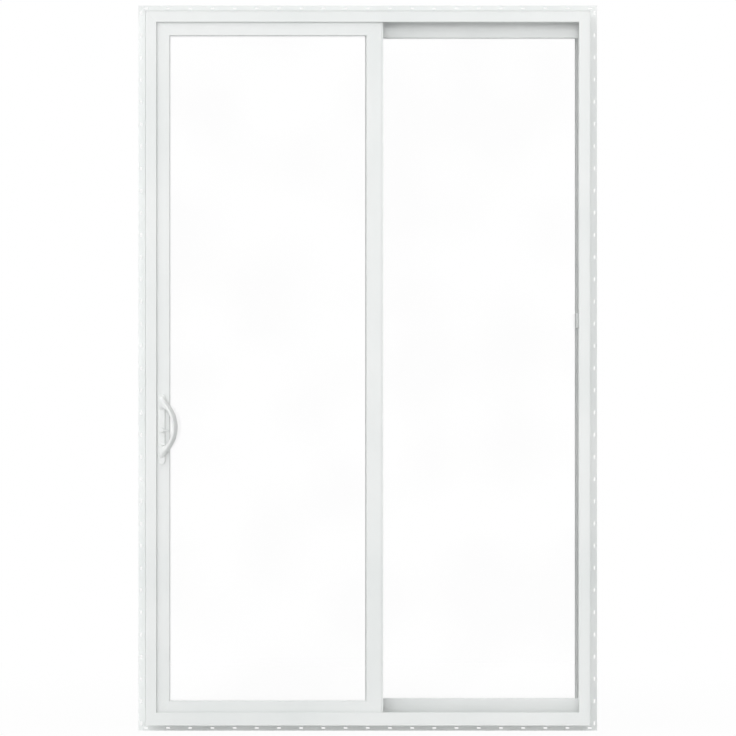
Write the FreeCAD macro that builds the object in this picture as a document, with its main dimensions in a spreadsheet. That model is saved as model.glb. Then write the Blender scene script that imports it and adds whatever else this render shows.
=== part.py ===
import FreeCAD, Part
import math
import os
import Sketcher

# Two-panel sliding patio door of white vinyl. Seen from the room, the left panel slides and the right one
# is fixed. X runs to the right, Y through the wall to the outdoors and Z up, in millimetres. The origin is
# on the nailing fins' face that bears on the wall, at the underside of the sill and the middle of the width.

# Driving dimensions, kept as plain numbers in the sheet: name, value, meaning
DIMENSIONS = [
    ("frame_width", 1511.3, "outside width of the frame, 59 1/2 in"),
    ("frame_height", 2425.7, "outside height of the frame, 95 1/2 in"),
    ("frame_front", 84.0, "depth of the frame on the room side of the fin"),
    ("frame_back", 32.0, "depth of the frame on the outdoor side of the fin"),
    ("lip_reach", 39.3, "width of the frame's face towards the room"),
    ("lip_wall", 3.0, "thickness of that lip"),
    ("slide_floor", 18.0, "outer edge of the frame to the floor of the sliding track"),
    ("fixed_floor", 5.0, "outer edge of the frame to the floor of the fixed track"),
    ("rib_reach", 34.0, "reach of the rib between the two tracks"),
    ("rib_wall", 5.0, "thickness of that rib"),
    ("back_reach", 36.0, "reach of the outdoor leg of the frame"),
    ("screen_lip_reach", 42.0, "reach of the thin lip on that leg"),
    ("screen_lip_wall", 3.0, "thickness of the thin lip"),
    ("edge_break", 1.5, "bevel of the edges that show"),
    ("line_inset", 1.2, "outer edge of head and jambs to the fine groove in their face"),
    ("line_width", 1.2, "width of that groove"),
    ("line_depth", 2.5, "depth of that groove"),
    ("running_gap", 5.0, "clearance in front of and behind the sliding panel"),
    ("fixed_gap", 2.0, "clearance in front of the fixed panel"),
    ("seat_gap", 0.3, "clearance where one piece sits on or in another"),
    ("fin_reach", 31.75, "width of the nailing fin, 1 1/4 in"),
    ("fin_wall", 1.6, "thickness of the nailing fin"),
    ("fin_root", 3.0, "depth of the fin's root in the frame"),
    ("slot_line", 22.5, "outer edge of the frame to the row of nail slots"),
    ("slot_pitch", 76.2, "spacing of the nail slots, 3 in"),
    ("slot_length", 14.0, "length of a nail slot"),
    ("slot_width", 5.0, "width of a nail slot"),
    ("slots_across", 21, "nail slots along the head and the sill"),
    ("slots_upright", 33, "nail slots along each jamb"),
    ("dam_height", 45.0, "height of the sill's dam towards the room"),
    ("track_floor", 12.0, "height of the floor of the sliding track"),
    ("upstand_height", 18.0, "height of the upstand that carries the rail"),
    ("upstand_width", 6.0, "width of that upstand"),
    ("rail_height", 6.0, "height of the metal rail over the upstand"),
    ("rail_wall", 1.2, "thickness of the rail's skirts"),
    ("rail_crown", 3.0, "width of the rail where the rollers run"),
    ("sill_rib_height", 34.0, "height of the sill's two ribs beside the fixed panel"),
    ("sill_rib_wall", 4.0, "thickness of the outdoor rib"),
    ("nose_base", 6.0, "height of the underside of the sill's nose"),
    ("nose_height", 18.0, "height of the nose at its outdoor edge"),
    ("nose_fall", 8.0, "fall of the sill from the fixed panel to the nose"),
    ("kerf_wall", 2.0, "wall behind the fin's kerf in the sill"),
    ("weep_length", 38.0, "length of a weep slot in the nose"),
    ("weep_height", 5.0, "height of a weep slot"),
    ("weep_depth", 12.0, "depth of a weep slot"),
    ("weep_pitch", 440.0, "spacing of the weep slots"),
    ("weep_count", 3, "number of weep slots"),
    ("panel_depth", 36.0, "thickness of both panels"),
    ("panel_base", 25.0, "height of the underside of both panels"),
    ("panel_drop", 27.0, "top of the frame to the top of both panels"),
    ("sash_width", 57.0, "face width of the stiles and rails"),
    ("fixed_stile_width", 28.5, "face width of the fixed panel's jamb stile"),
    ("slide_inset", 26.3, "outer edge of the frame to the sliding panel"),
    ("slide_width", 782.0, "width of the sliding panel"),
    ("meeting_overlap", 61.5, "overlap of the two panels at their meeting stiles"),
    ("fixed_inset", 6.0, "outer edge of the frame to the fixed panel"),
    ("sash_leg", 8.0, "thickness of the leg in front of the glass"),
    ("glass_bite", 12.0, "depth of the glass held in the sash"),
    ("edge_clearance", 3.0, "clearance round the glass"),
    ("glass_pack", 19.0, "thickness of the insulating glass"),
    ("pane", 3.2, "thickness of one pane"),
    ("bedding", 0.1, "clearance between glass, spacer, leg and bead"),
    ("spacer_inset", 0.5, "edge of the glass to the spacer"),
    ("spacer_width", 7.0, "face width of the spacer"),
    ("bead_bevel", 4.0, "bevel of the glazing bead"),
    ("bead_setback", 6.0, "daylight edge towards the room to the bead's edge outdoors"),
    ("step_width", 6.0, "width of the stepped edge of the sliding panel"),
    ("step_depth", 2.0, "depth of that step"),
    ("edge_groove", 6.0, "depth of the groove in the edges of the sliding panel"),
    ("roller_groove", 34.0, "depth of the roller channel in the bottom rail"),
    ("groove_width", 20.0, "width of the groove and the channel"),
    ("hook_wall", 1.5, "thickness of the interlocks"),
    ("hook_gap", 3.0, "running clearance of the interlocks"),
    ("hook_flange", 12.0, "width of the interlocks' flanges"),
    ("slide_hook_inset", 14.0, "edge of the sliding meeting stile to its interlock's leg"),
    ("slide_hook_tip", 15.0, "length of that interlock's tip"),
    ("fixed_hook_inset", 13.0, "edge of the fixed meeting stile to its interlock's leg"),
    ("fixed_hook_tip", 26.5, "length of that interlock's tip"),
    ("hook_end_gap", 14.0, "ends of the interlocks to the frame's ribs"),
    ("wheel_radius", 11.0, "radius of a roller where it runs on the rail"),
    ("flange_height", 2.0, "height of a roller's flanges"),
    ("wheel_width", 9.0, "width of a roller"),
    ("axle_radius", 2.5, "radius of a roller's axle"),
    ("axle_gap", 0.05, "running clearance of a roller on its axle"),
    ("axle_spacing", 46.0, "distance between the two axles of a roller housing"),
    ("housing_length", 104.0, "length of a roller housing"),
    ("housing_width", 16.0, "width of a roller housing"),
    ("housing_wall", 2.0, "sheet thickness of a roller housing"),
    ("housing_inset", 70.0, "edge of the sliding panel to a roller housing"),
    ("handle_height", 1006.0, "height of the middle of the handle"),
    ("handle_length", 240.0, "length of the handle's plates"),
    ("handle_width", 24.0, "width of the handle's plates"),
    ("handle_inset", 30.0, "edge of the sliding panel to the middle of the handle"),
    ("plate_wall", 7.0, "thickness of the handle's plates"),
    ("grip_lift", 6.5, "middle of the plates to the middle of the pulls"),
    ("grip_span", 81.0, "middle of a pull to the middle of its foot"),
    ("grip_side", 50.0, "sideways bow of the inside pull"),
    ("grip_out", 42.0, "bow of the inside pull towards the room"),
    ("outside_grip_out", 36.0, "bow of the outside pull"),
    ("grip_width", 20.0, "width of a pull's strap at its middle"),
    ("grip_thick", 10.0, "thickness of the strap at its middle"),
    ("grip_corner", 3.0, "corner cut off the strap at its middle"),
    ("foot_width", 23.0, "width of a pull's foot"),
    ("foot_height", 48.0, "height of a pull's foot"),
    ("foot_corner", 8.0, "corner cut off a pull's foot"),
    ("latch_hub", 9.0, "radius of the thumb latch's hub"),
    ("latch_reach", 26.0, "length of the thumb latch"),
    ("latch_root", 8.0, "height of the latch's blade at its hub"),
    ("latch_tip", 5.0, "height of the latch's blade at its tip"),
    ("latch_depth", 12.0, "projection of the thumb latch from its plate"),
    ("latch_lift", 5.0, "clearance under the thumb latch's blade"),
    ("latch_drop", 4.0, "distance of the thumb latch below the handle's middle"),
    ("cylinder_radius", 8.0, "radius of the key cylinder"),
    ("cylinder_out", 4.0, "projection of the key cylinder"),
    ("cylinder_drop", 32.0, "distance of the key cylinder below the handle's middle"),
    ("keyway_height", 8.0, "height of the keyway"),
    ("keyway_width", 1.6, "width of the keyway"),
    ("keyway_depth", 3.0, "depth of the keyway"),
    ("strip_wall", 2.0, "thickness of the lock's faceplate and the keeper"),
    ("faceplate_length", 190.0, "length of the lock's faceplate"),
    ("faceplate_width", 18.0, "width of the lock's faceplate"),
    ("keeper_length", 150.0, "length of the keeper"),
    ("keeper_width", 24.0, "width of the keeper"),
    ("hook_slot_length", 30.0, "length of the slots for the lock's hooks"),
    ("hook_slot_width", 8.0, "width of those slots"),
    ("hook_slot_offset", 40.0, "distance of those slots from the handle's middle"),
    ("stop_length", 29.0, "length of the rubber stop at the fixed jamb"),
    ("stop_width", 22.0, "width of the rubber stop"),
    ("stop_height", 50.0, "height of the rubber stop"),
    ("stop_level", 1350.0, "height of the rubber stop above the sill"),
    ("stop_bevel", 4.0, "bevel of the rubber stop's end"),
    ("seal_width", 5.0, "width of a pile seal"),
    ("seal_height", 4.2, "height of a pile seal"),
    ("seal_inset", 6.0, "edge of the frame's lip to a pile seal"),
]

doc = FreeCAD.newDocument("patio_door")
sheet = doc.addObject("Spreadsheet::Sheet", "Sizes")
for row, (alias, number, meaning) in enumerate(DIMENSIONS, start=1):
    sheet.set(f"A{row}", meaning)
    sheet.set(f"B{row}", str(number))
    sheet.setAlias(f"B{row}", alias)
doc.recompute()


class Size:
    """A length together with the sheet formula that gives it."""

    def __init__(self, value, formula):
        self.value = float(value)
        self.formula = formula

    def __add__(self, other):
        other = as_size(other)
        return Size(self.value + other.value, f"({self.formula} + {other.formula})")

    def __sub__(self, other):
        other = as_size(other)
        return Size(self.value - other.value, f"({self.formula} - {other.formula})")

    def __mul__(self, other):
        other = as_size(other)
        return Size(self.value * other.value, f"({self.formula} * {other.formula})")

    def __truediv__(self, other):
        other = as_size(other)
        return Size(self.value / other.value, f"({self.formula} / {other.formula})")

    def __neg__(self):
        return Size(-self.value, f"(0 - {self.formula})")


def as_size(number):
    return number if isinstance(number, Size) else Size(number, repr(float(number)))


def cell(alias):
    return Size(sheet.get(alias), f"Sizes.{alias}")


# Planes and edges that several pieces share
zero = as_size(0)
half_width = cell("frame_width") / 2
frame_top = cell("frame_height")
front = -cell("frame_front")
back = cell("frame_back")
lip_back = front + cell("lip_wall")
slide_front = lip_back + cell("running_gap")
slide_back = slide_front + cell("panel_depth")
rib_front = slide_back + cell("running_gap")
rib_back = rib_front + cell("rib_wall")
fixed_front = rib_back + cell("fixed_gap")
fixed_back = fixed_front + cell("panel_depth")
leg_front = fixed_back + cell("seat_gap")
corner_reach = cell("lip_reach") + cell("screen_lip_reach")
kerf_depth = cell("fin_root") + cell("seat_gap")
track_half = half_width - cell("slide_floor")
sill_half = half_width - cell("fixed_floor")
rail_top = cell("upstand_height") + cell("rail_height")

sash_width = cell("sash_width")
panel_base = cell("panel_base")
panel_top = frame_top - cell("panel_drop")
daylight_base = panel_base + sash_width
daylight_top = panel_top - sash_width
slide_left = cell("slide_inset") - half_width
slide_right = slide_left + cell("slide_width")
fixed_left = slide_right - cell("meeting_overlap")
fixed_right = half_width - cell("fixed_inset")
track_centre = (slide_front + slide_back) / 2
handle_x = slide_left + cell("handle_inset")
handle_z = cell("handle_height")

parts = []


def bind(feature, name, length):
    setattr(feature, name, length.value)
    feature.setExpression(name, length.formula)


def new_body(label, kept=True):
    body = doc.addObject("PartDesign::Body", label)
    body.Label = label
    if kept:
        parts.append(body)
    return body


def group(label, members):
    """Like pieces that share one file."""
    compound = doc.addObject("Part::Compound", label)
    compound.Label = label
    compound.Links = members
    parts.append(compound)


def new_sketch(body, plane_role, offset=zero, origin=(zero, zero)):
    """A sketch on one of the body's origin planes, moved along the plane's normal and in the plane."""
    sketch = body.newObject("Sketcher::SketchObject", f"{body.Label}_sketch")
    plane = next(f for f in body.Origin.OriginFeatures if f.Role == plane_role)
    sketch.AttachmentSupport = [(plane, "")]
    sketch.MapMode = "FlatFace"
    shift = (origin[0], origin[1], offset)
    base = FreeCAD.Vector(*[length.value for length in shift])
    sketch.AttachmentOffset = FreeCAD.Placement(base, FreeCAD.Rotation())
    for axis, length in zip("xyz", shift):
        sketch.setExpression(f"AttachmentOffset.Base.{axis}", length.formula)
    return sketch


def hold(sketch, kind, length, *geometry):
    index = sketch.addConstraint(Sketcher.Constraint(kind, *geometry, length.value))
    sketch.setExpression(f"Constraints[{index}]", length.formula)


def hold_point(sketch, geometry, point, x, y):
    hold(sketch, "DistanceX", x, -1, 1, geometry, point)
    hold(sketch, "DistanceY", y, -1, 1, geometry, point)


def add_outline(sketch, points):
    """A closed outline of straight lines whose corners follow the sheet."""
    first = sketch.GeometryCount
    corners = [FreeCAD.Vector(x.value, y.value, 0) for x, y in points]
    ends = corners[1:] + corners[:1]
    sketch.addGeometry([Part.LineSegment(a, b) for a, b in zip(corners, ends)], False)
    for i in range(len(points)):
        following = first + (i + 1) % len(points)
        sketch.addConstraint(Sketcher.Constraint("Coincident", first + i, 2, following, 1))
    for i, (x, y) in enumerate(points):
        hold_point(sketch, first + i, 1, x, y)


def add_circle(sketch, x, y, radius):
    circle = Part.Circle(FreeCAD.Vector(x.value, y.value, 0), FreeCAD.Vector(0, 0, 1), radius.value)
    index = sketch.addGeometry(circle, False)
    hold_point(sketch, index, 3, x, y)
    hold(sketch, "Radius", radius, index)


def add_slot(sketch, x, y, length, width, upright):
    """A slot with round ends, centred on x, y."""
    first = sketch.GeometryCount
    run = (length - width) / 2
    radius = width / 2
    near, far = ((x, y - run), (x, y + run)) if upright else ((x - run, y), (x + run, y))
    low, high = [FreeCAD.Vector(end[0].value, end[1].value, 0) for end in (near, far)]
    normal = FreeCAD.Vector(0, 0, 1)
    turn = math.pi / 2 if upright else 0.0
    side = FreeCAD.Vector(-math.sin(turn), math.cos(turn), 0) * radius.value
    quarter = math.pi / 2
    sketch.addGeometry([
        Part.ArcOfCircle(Part.Circle(low, normal, radius.value), turn + quarter, turn + 3 * quarter),
        Part.LineSegment(low - side, high - side),
        Part.ArcOfCircle(Part.Circle(high, normal, radius.value), turn - quarter, turn + quarter),
        Part.LineSegment(high + side, low + side),
    ], False)
    for i in range(4):
        following = first + (i + 1) % 4
        sketch.addConstraint(Sketcher.Constraint("Tangent", first + i, 2, following, 1))
    hold_point(sketch, first, 3, *near)
    hold_point(sketch, first + 2, 3, *far)
    sketch.addConstraint(Sketcher.Constraint("Equal", first, first + 2))
    hold(sketch, "Radius", radius, first)


def pad(body, sketch, length, reverse=False):
    feature = body.newObject("PartDesign::Pad", f"{body.Label}_pad")
    feature.Profile = sketch
    bind(feature, "Length", length)
    feature.Reversed = reverse


def pocket(body, sketch, length, reverse=False):
    feature = body.newObject("PartDesign::Pocket", f"{body.Label}_pocket")
    feature.Profile = sketch
    bind(feature, "Length", length)
    feature.Reversed = reverse
    return feature


def cut_through(body, sketch):
    """A pocket right through the body, both ways from its sketch."""
    feature = body.newObject("PartDesign::Pocket", f"{body.Label}_cut")
    feature.Profile = sketch
    feature.SideType = "Symmetric"
    feature.Type = "ThroughAll"
    return feature


def repeat(body, feature, sketch, axis, spacing, count):
    pattern = body.newObject("PartDesign::LinearPattern", f"{body.Label}_pattern")
    pattern.Originals = [feature]
    pattern.Direction = (sketch, [axis])
    pattern.Mode = "Spacing"
    bind(pattern, "Offset", spacing)
    pattern.Occurrences = int(count.value)
    pattern.setExpression("Occurrences", count.formula)
    body.Tip = pattern


def bevel_rim(body, plane_y):
    """Breaks the edges of the body that lie wholly in the plane at that y."""
    doc.recompute()
    base = body.Tip
    chosen = []
    for i, edge in enumerate(base.Shape.Edges, start=1):
        box = edge.BoundBox
        if max(abs(box.YMin - plane_y.value), abs(box.YMax - plane_y.value)) < cell("bedding").value:
            chosen.append(f"Edge{i}")
    feature = body.newObject("PartDesign::Chamfer", f"{body.Label}_bevel")
    feature.Base = (base, chosen)
    bind(feature, "Size", cell("edge_break"))


def bar(label, section, upright, low, high, kept=True):
    """A bar with a constant section, (x, y) where it is upright and (y, z) where it runs across."""
    body = new_body(label, kept)
    sketch = new_sketch(body, "XY_Plane" if upright else "YZ_Plane", low)
    add_outline(sketch, section)
    pad(body, sketch, high - low)
    return body


def mitred_bar(label, profile, width, upright, ends, outer, inward, runs, gap=zero, kept=True):
    """A bar that meets its neighbours on mitres.

    profile lists (distance in from the outer edge, y), and width is that distance at the mitre's inner
    corner. outer is where the outer edge lies, and inward, 1 or -1, is the way in from there. runs gives the
    length of the mitre at both ends, None for a square end, and gap opens the mitres by a hairline.
    """
    section = [(outer + reach * inward, y) for reach, y in profile]
    if not upright:
        section = [(y, z) for z, y in section]
    body = bar(label, section, upright, ends[0], ends[1], kept)
    inner = outer + width * inward
    sketch = new_sketch(body, "XZ_Plane")
    for end, run, way in zip(ends, runs, (1, -1)):
        if run is not None:
            reach = run + gap
            corners = [(end, inner), (end + reach * way, inner), (end, inner - reach * inward)]
            add_outline(sketch, [(x, z) for z, x in corners] if upright else corners)
    cut_through(body, sketch)
    return body


def block(label, low, high, kept=True):
    """A plain block from one corner to the other."""
    box = doc.addObject("Part::Box", label)
    box.Label = label
    for name, start, end in zip(("Length", "Width", "Height"), low, high):
        bind(box, name, end - start)
    for axis, start in zip("xyz", low):
        box.setExpression(f"Placement.Base.{axis}", start.formula)
    if kept:
        parts.append(box)
    return box


# Frame, mitred at the head and coped over the sill at the foot of the jambs
def frame_profile():
    """Section of head and jambs, with a track for each panel, as (distance in from the outer edge, y)."""
    edge = cell("edge_break")
    lip = cell("lip_reach")
    screen_front = back - cell("screen_lip_wall")
    line_end = cell("line_inset") + cell("line_width")
    return [
        (zero, front),
        (cell("line_inset"), front),
        (cell("line_inset"), front + cell("line_depth")),
        (line_end, front + cell("line_depth")),
        (line_end, front),
        (lip - edge, front),
        (lip, front + edge),
        (lip, lip_back),
        (cell("slide_floor"), lip_back),
        (cell("slide_floor"), rib_front),
        (cell("rib_reach"), rib_front),
        (cell("rib_reach"), rib_back),
        (cell("fixed_floor"), rib_back),
        (cell("fixed_floor"), leg_front),
        (cell("back_reach"), leg_front),
        (cell("back_reach"), screen_front),
        (cell("screen_lip_reach"), screen_front),
        (cell("screen_lip_reach"), back),
        (zero, back),
        (zero, cell("fin_wall")),
        (kerf_depth, cell("fin_wall")),
        (kerf_depth, zero),
        (zero, zero),
    ]


def sill_profile(dressed):
    """Section of the sill as (y, z): dam, sliding track, seat of the fixed panel and sloping nose.

    The dressed one has a bevel under its front, which the copes in the jambs go without.
    """
    edge = cell("edge_break")
    foot = [(front, zero)]
    if dressed:
        foot = [(front, edge), (front + edge, zero)]
    upstand_half = cell("upstand_width") / 2
    kerf_back = cell("fin_wall")
    bed = panel_base - cell("seat_gap")
    rib_outdoors = leg_front + cell("sill_rib_wall")
    return foot + [
        (zero, zero),
        (zero, kerf_depth),
        (kerf_back, kerf_depth),
        (kerf_back, zero),
        (kerf_back + cell("kerf_wall"), zero),
        (kerf_back + cell("kerf_wall"), cell("nose_base")),
        (back, cell("nose_base")),
        (back, cell("nose_height")),
        (rib_outdoors, cell("nose_height") + cell("nose_fall")),
        (rib_outdoors, cell("sill_rib_height")),
        (leg_front, cell("sill_rib_height")),
        (leg_front, bed),
        (rib_back, bed),
        (rib_back, cell("sill_rib_height")),
        (rib_front, cell("sill_rib_height")),
        (rib_front, cell("track_floor")),
        (track_centre + upstand_half, cell("track_floor")),
        (track_centre + upstand_half, cell("upstand_height")),
        (track_centre - upstand_half, cell("upstand_height")),
        (track_centre - upstand_half, cell("track_floor")),
        (lip_back, cell("track_floor")),
        (lip_back, cell("dam_height")),
        (front + edge, cell("dam_height")),
        (front, cell("dam_height") - edge),
    ]


def head():
    ends = (-half_width, half_width)
    runs = (corner_reach, corner_reach)
    mitred_bar("head", frame_profile(), corner_reach, False, ends, frame_top, -1, runs)


def jamb(label, side):
    """side is -1 for the lock jamb on the left and 1 for the fixed jamb on the right."""
    ends = (zero, frame_top)
    runs = (None, corner_reach)
    outer = half_width * side
    body = mitred_bar(label, frame_profile(), corner_reach, True, ends, outer, -side, runs)
    cope = new_sketch(body, "YZ_Plane", sill_half * side)
    add_outline(cope, sill_profile(False))
    pocket(body, cope, corner_reach, reverse=side < 0)


def sill():
    body = bar("sill", sill_profile(True), False, -sill_half, sill_half)
    weep = new_sketch(body, "XZ_Plane", -back)
    first = -(cell("weep_pitch") * (cell("weep_count") - 1) / 2)
    level = (cell("nose_base") + cell("nose_height")) / 2
    add_slot(weep, first, level, cell("weep_length"), cell("weep_height"), False)
    slot = pocket(body, weep, cell("weep_depth"), reverse=True)
    repeat(body, slot, weep, "H_Axis", cell("weep_pitch"), cell("weep_count"))


def sill_rail():
    """Metal rail on the sill's upstand, with a narrow crown for the rollers."""
    inside = cell("upstand_width") / 2
    outside = inside + cell("rail_wall")
    crown = cell("rail_crown") / 2
    top = cell("upstand_height")
    skirt = (cell("track_floor") + top) / 2
    shoulder = top + cell("rail_wall")
    section = [
        (outside, skirt),
        (inside, skirt),
        (inside, top),
        (-inside, top),
        (-inside, skirt),
        (-outside, skirt),
        (-outside, shoulder),
        (-crown, shoulder),
        (-crown, rail_top),
        (crown, rail_top),
        (crown, shoulder),
        (outside, shoulder),
    ]
    section = [(track_centre + y, z) for y, z in section]
    bar("sill_rail", section, False, -track_half, track_half)


head()
sill()
jamb("lock_jamb", -1)
jamb("fixed_jamb", 1)
sill_rail()


# Nailing fins, each with a root in the frame's kerf and a row of nail slots
def nail_fin(label, upright, low, high, edge, outward, count):
    """A fin along the frame's edge that runs past both of its corners."""
    reach = cell("fin_reach")
    root = reach + cell("fin_root")
    root_front = cell("seat_gap")
    root_back = cell("fin_wall") - cell("seat_gap")
    profile = [
        (zero, zero),
        (zero, cell("fin_wall")),
        (reach, cell("fin_wall")),
        (reach, root_back),
        (root, root_back),
        (root, root_front),
        (reach, root_front),
        (reach, zero),
    ]
    ends = (low - reach, high + reach)
    tip = edge + reach * outward
    body = mitred_bar(label, profile, root, upright, ends, tip, -outward, (root, root))
    nail_slots(body, upright, edge + cell("slot_line") * outward, (low + high) / 2, count)


def nail_slots(body, upright, line, middle, count):
    """A row of nail slots. Those that serve as mounts have round ends, and the others a coarser outline."""
    pitch = cell("slot_pitch")
    half_row = pitch * (count - 1) / 2
    half = cell("slot_width") / 2
    run = cell("slot_length") / 2 - half
    tip = run + half * math.cos(math.pi / 6)
    end = [(run, half), (tip, half / 2), (tip, -half / 2), (run, -half)]
    outline = end + [(-along, -across) for along, across in end]
    corners = [(middle - half_row + along, line + across) for along, across in outline]
    sketch = new_sketch(body, "XZ_Plane")
    add_outline(sketch, [(x, z) for z, x in corners] if upright else corners)
    repeat(body, cut_through(body, sketch), sketch, "V_Axis" if upright else "H_Axis", pitch, count)
    rounded = new_sketch(body, "XZ_Plane")
    for share in (-1, 1) if upright else (-1, -0.5, 0.5, 1):
        along = middle + half_row * share
        x, z = (line, along) if upright else (along, line)
        add_slot(rounded, x, z, cell("slot_length"), cell("slot_width"), upright)
    cut_through(body, rounded)


nail_fin("head_nail_fin", False, -half_width, half_width, frame_top, 1, cell("slots_across"))
nail_fin("sill_nail_fin", False, -half_width, half_width, zero, -1, cell("slots_across"))
nail_fin("lock_jamb_nail_fin", True, zero, frame_top, -half_width, -1, cell("slots_upright"))
nail_fin("fixed_jamb_nail_fin", True, zero, frame_top, half_width, 1, cell("slots_upright"))


# Panels, with a leg in front of the glass and a rebate for the beads behind it
def sash_profile(width, panel_front, groove_depth=None):
    """Section of a stile or rail as (distance in from the outer edge, y).

    One with a groove belongs to the sliding panel, and has a step along its outer edge as well.
    """
    edge = cell("edge_break")
    rebate = width - cell("glass_bite") - cell("edge_clearance")
    leg = panel_front + cell("sash_leg")
    panel_back = panel_front + cell("panel_depth")
    points = [
        (width - edge, panel_front),
        (width, panel_front + edge),
        (width, leg),
        (rebate, leg),
        (rebate, panel_back),
        (zero, panel_back),
    ]
    if groove_depth is None:
        return points + [(zero, panel_front)]
    middle = (panel_front + panel_back) / 2
    groove_half = cell("groove_width") / 2
    step = panel_front + cell("step_depth")
    return points + [
        (zero, middle + groove_half),
        (groove_depth, middle + groove_half),
        (groove_depth, middle - groove_half),
        (zero, middle - groove_half),
        (zero, step),
        (cell("step_width"), step),
        (cell("step_width"), panel_front),
    ]


def panel_rail(label, top, ends, stile_widths, profile):
    outer, inward = (panel_top, -1) if top else (panel_base, 1)
    mitred_bar(label, profile, sash_width, False, ends, outer, inward, stile_widths)


def panel_stile(label, outer, inward, width, profile):
    ends = (daylight_base - width, daylight_top + width)
    mitred_bar(label, profile, width, True, ends, outer, inward, (width, width))


def glazing(prefix, panel_front, left, right):
    """Insulating glass and its beads. left and right are the edges of the daylight opening."""
    room_face = panel_front + cell("sash_leg") + cell("bedding")
    outdoor_face = room_face + cell("glass_pack")
    bite = cell("glass_bite")

    def slab(name, start, end, inset=zero, kept=True):
        low = [left - bite + inset, start, daylight_base - bite + inset]
        high = [right + bite - inset, end, daylight_top + bite - inset]
        return block(f"{prefix}_{name}", low, high, kept)

    slab("inner_pane", room_face, room_face + cell("pane"))
    slab("outer_pane", outdoor_face - cell("pane"), outdoor_face)
    cavity_front = room_face + cell("pane") + cell("bedding")
    cavity_back = outdoor_face - cell("pane") - cell("bedding")
    margin = cell("spacer_inset")
    spacer = doc.addObject("Part::Cut", f"{prefix}_glass_spacer")
    spacer.Label = f"{prefix}_glass_spacer"
    spacer.Base = slab("spacer_outside", cavity_front, cavity_back, margin, False)
    spacer.Tool = slab("spacer_inside", cavity_front, cavity_back, margin + cell("spacer_width"), False)
    parts.append(spacer)
    glazing_beads(prefix, left, right, outdoor_face + cell("bedding"), panel_front + cell("panel_depth"))


def glazing_beads(prefix, left, right, bead_front, bead_back):
    """Four bevelled beads that hold the glass from outdoors, with a hairline at their mitres."""
    setback = cell("bead_setback")
    reach = cell("glass_bite") + cell("edge_clearance") - cell("seat_gap") - setback
    slope = cell("bead_bevel")
    profile = [
        (zero, bead_front),
        (reach, bead_front),
        (reach, bead_back - slope),
        (reach - slope, bead_back),
        (zero, bead_back),
    ]
    beads = []
    for name, upright, low, high, edge, inward in [
        ("low", False, left, right, daylight_base, 1),
        ("high", False, left, right, daylight_top, -1),
        ("left", True, daylight_base, daylight_top, left, 1),
        ("right", True, daylight_base, daylight_top, right, -1),
    ]:
        label = f"{prefix}_bead_{name}"
        ends = (low - setback - reach, high + setback + reach)
        outer = edge - (setback + reach) * inward
        runs = (reach, reach)
        hairline = cell("seat_gap")
        bead = mitred_bar(label, profile, reach, upright, ends, outer, inward, runs, hairline, False)
        beads.append(bead)
    group(f"{prefix}_glazing_beads", beads)


def sliding_panel():
    ends = (slide_left, slide_right)
    widths = (sash_width, sash_width)
    edge = sash_profile(sash_width, slide_front, cell("edge_groove"))
    channel = sash_profile(sash_width, slide_front, cell("roller_groove"))
    panel_rail("panel_top_rail", True, ends, widths, edge)
    panel_rail("panel_bottom_rail", False, ends, widths, channel)
    panel_stile("panel_lock_stile", slide_left, 1, sash_width, edge)
    panel_stile("panel_meeting_stile", slide_right, -1, sash_width, edge)
    glazing("panel", slide_front, slide_left + sash_width, slide_right - sash_width)


def fixed_panel():
    narrow = cell("fixed_stile_width")
    ends = (fixed_left, fixed_right)
    plain = sash_profile(sash_width, fixed_front)
    panel_rail("fixed_top_rail", True, ends, (sash_width, narrow), plain)
    panel_rail("fixed_bottom_rail", False, ends, (sash_width, narrow), plain)
    panel_stile("fixed_meeting_stile", fixed_left, 1, sash_width, plain)
    panel_stile("fixed_jamb_stile", fixed_right, -1, narrow, sash_profile(narrow, fixed_front))
    glazing("fixed", fixed_front, fixed_left + sash_width, fixed_right - narrow)


def interlock(label, leg, face, outward, flange_way, tip_face, tip_length):
    """A thin hooked strip on the face of a meeting stile. Its flange and its tip point opposite ways."""
    wall = cell("hook_wall")
    flange_end = leg + cell("hook_flange") * flange_way
    tip_end = leg - tip_length * flange_way
    far_side = leg + wall * flange_way
    section = [
        (leg, face),
        (flange_end, face),
        (flange_end, face + wall * outward),
        (far_side, face + wall * outward),
        (far_side, tip_face),
        (tip_end, tip_face),
        (tip_end, tip_face - wall * outward),
        (leg, tip_face - wall * outward),
    ]
    low = cell("sill_rib_height") + cell("hook_end_gap")
    high = frame_top - cell("rib_reach") - cell("hook_end_gap")
    bar(label, section, True, low, high)


def interlocks():
    """The two hooks pass with a running gap and lie behind each other when the panel closes."""
    slide_leg = slide_right - cell("slide_hook_inset")
    slide_tip = fixed_front - cell("hook_gap")
    interlock("panel_interlock", slide_leg, slide_back, 1, 1, slide_tip, cell("slide_hook_tip"))
    fixed_leg = fixed_left + cell("fixed_hook_inset") + cell("hook_wall")
    fixed_tip = slide_back + cell("hook_gap")
    interlock("fixed_interlock", fixed_leg, fixed_front, -1, -1, fixed_tip, cell("fixed_hook_tip"))


sliding_panel()
fixed_panel()
interlocks()


# Rollers in the channel of the sliding panel's bottom rail
def roller_sets():
    """Two housings, each with two grooved rollers that run on the sill's rail."""
    length = cell("housing_length")
    axle_z = rail_top + cell("seat_gap") + cell("wheel_radius")
    starts = [slide_left + cell("housing_inset"), slide_right - cell("housing_inset") - length]
    housings = []
    rollers = []
    for name, start in zip(("lock_side", "meeting_side"), starts):
        middle = start + length / 2
        axles = [middle - cell("axle_spacing") / 2, middle + cell("axle_spacing") / 2]
        housings.append(roller_housing(f"{name}_housing", start, axles, axle_z))
        for x in axles:
            rollers.append(roller(f"{name}_roller", x, axle_z))
    group("roller_housings", housings)
    group("rollers", rollers)


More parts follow.
